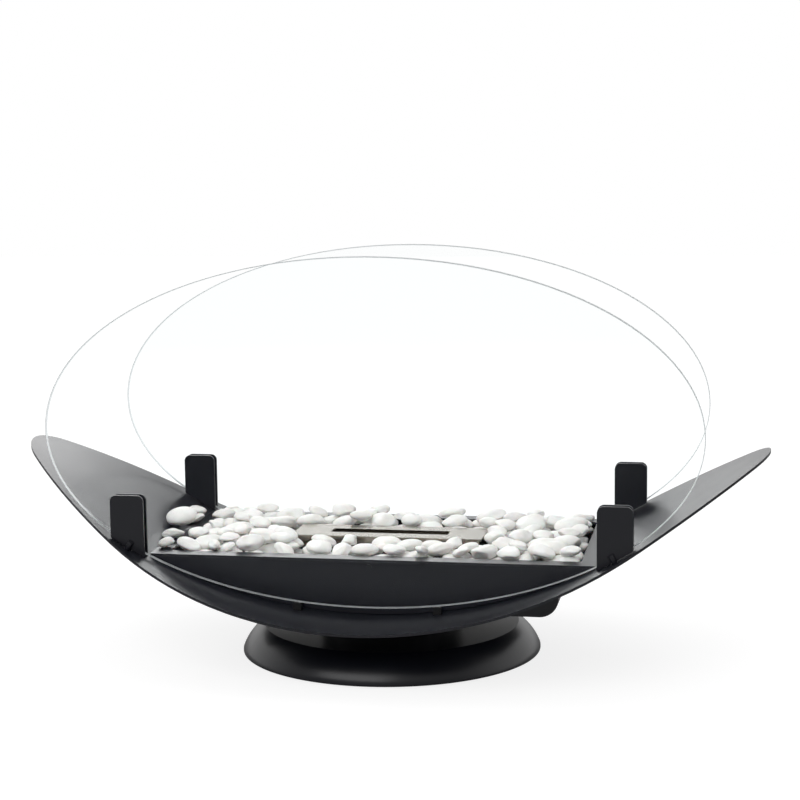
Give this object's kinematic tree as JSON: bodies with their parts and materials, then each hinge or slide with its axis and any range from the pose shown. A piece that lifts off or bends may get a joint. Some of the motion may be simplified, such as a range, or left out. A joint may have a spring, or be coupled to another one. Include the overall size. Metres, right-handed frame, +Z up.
{
  "type": "tabletop alcohol fireplace",
  "caption": "Tabletop alcohol fireplace: a rolled oval steel tray on a domed foot, a slim burner in a trough of white pebbles, and oval glass panes held by clips.",
  "frame": {"origin": "on the table under the centre of the round foot", "axes": "+X along the tray to the right tip, +Y from the front pane to the rear pane, +Z up"},
  "size_m": [0.6, 0.304, 0.322],
  "materials": {
    "grey_paint": "satin graphite powder coat on sheet steel",
    "rubber": "matt black foot discs",
    "silicone": "translucent grey silicone",
    "zinc_steel": "zinc-plated fasteners",
    "plate_steel": "plain graphite sheet under the pebbles",
    "stainless": "brushed stainless steel",
    "fibre": "ceramic fibre wool",
    "clear_glass": "clear toughened glass, polished edge",
    "white_stone": "tumbled white marble"
  },
  "bodies": {
    "base": {"foot_dome": "grey_paint", "neck": "grey_paint", "cradle": "grey_paint", "tray": "grey_paint", "trough_front_wall": "grey_paint", "trough_rear_wall": "grey_paint", "trough_rim": "grey_paint", "clip_front_left": "grey_paint", "clip_front_right": "grey_paint", "clip_rear_left": "grey_paint", "clip_rear_right": "grey_paint", "foot_pads": "rubber", "clip_pads": "silicone", "glass_rests": "silicone", "clamp_sleeve": "zinc_steel", "centre_bolt": "zinc_steel", "centre_nut": "zinc_steel", "centre_washers": "zinc_steel", "rim_rivets": "zinc_steel", "stone_plate": "plate_steel", "pebbles_front": "white_stone", "pebbles_rear": "white_stone", "pebbles_left": "white_stone", "pebbles_right": "white_stone"},
    "front_pane": {"front_glass": "clear_glass"},
    "rear_pane": {"rear_glass": "clear_glass"},
    "burner": {"burner_tank": "stainless", "burner_lid": "stainless", "burner_wool": "fibre"}
  },
  "joints": [
    {"name": "front_pane_lift", "type": "slide", "parent": "base", "child": "front_pane", "axis": [0, 0, 1], "range_m": [0, 0.06]},
    {"name": "rear_pane_lift", "type": "slide", "parent": "base", "child": "rear_pane", "axis": [0, 0, 1], "range_m": [0, 0.06]},
    {"name": "burner_lift", "type": "slide", "parent": "base", "child": "burner", "axis": [0, 0, 1], "range_m": [0, 0.06]}
  ]
}
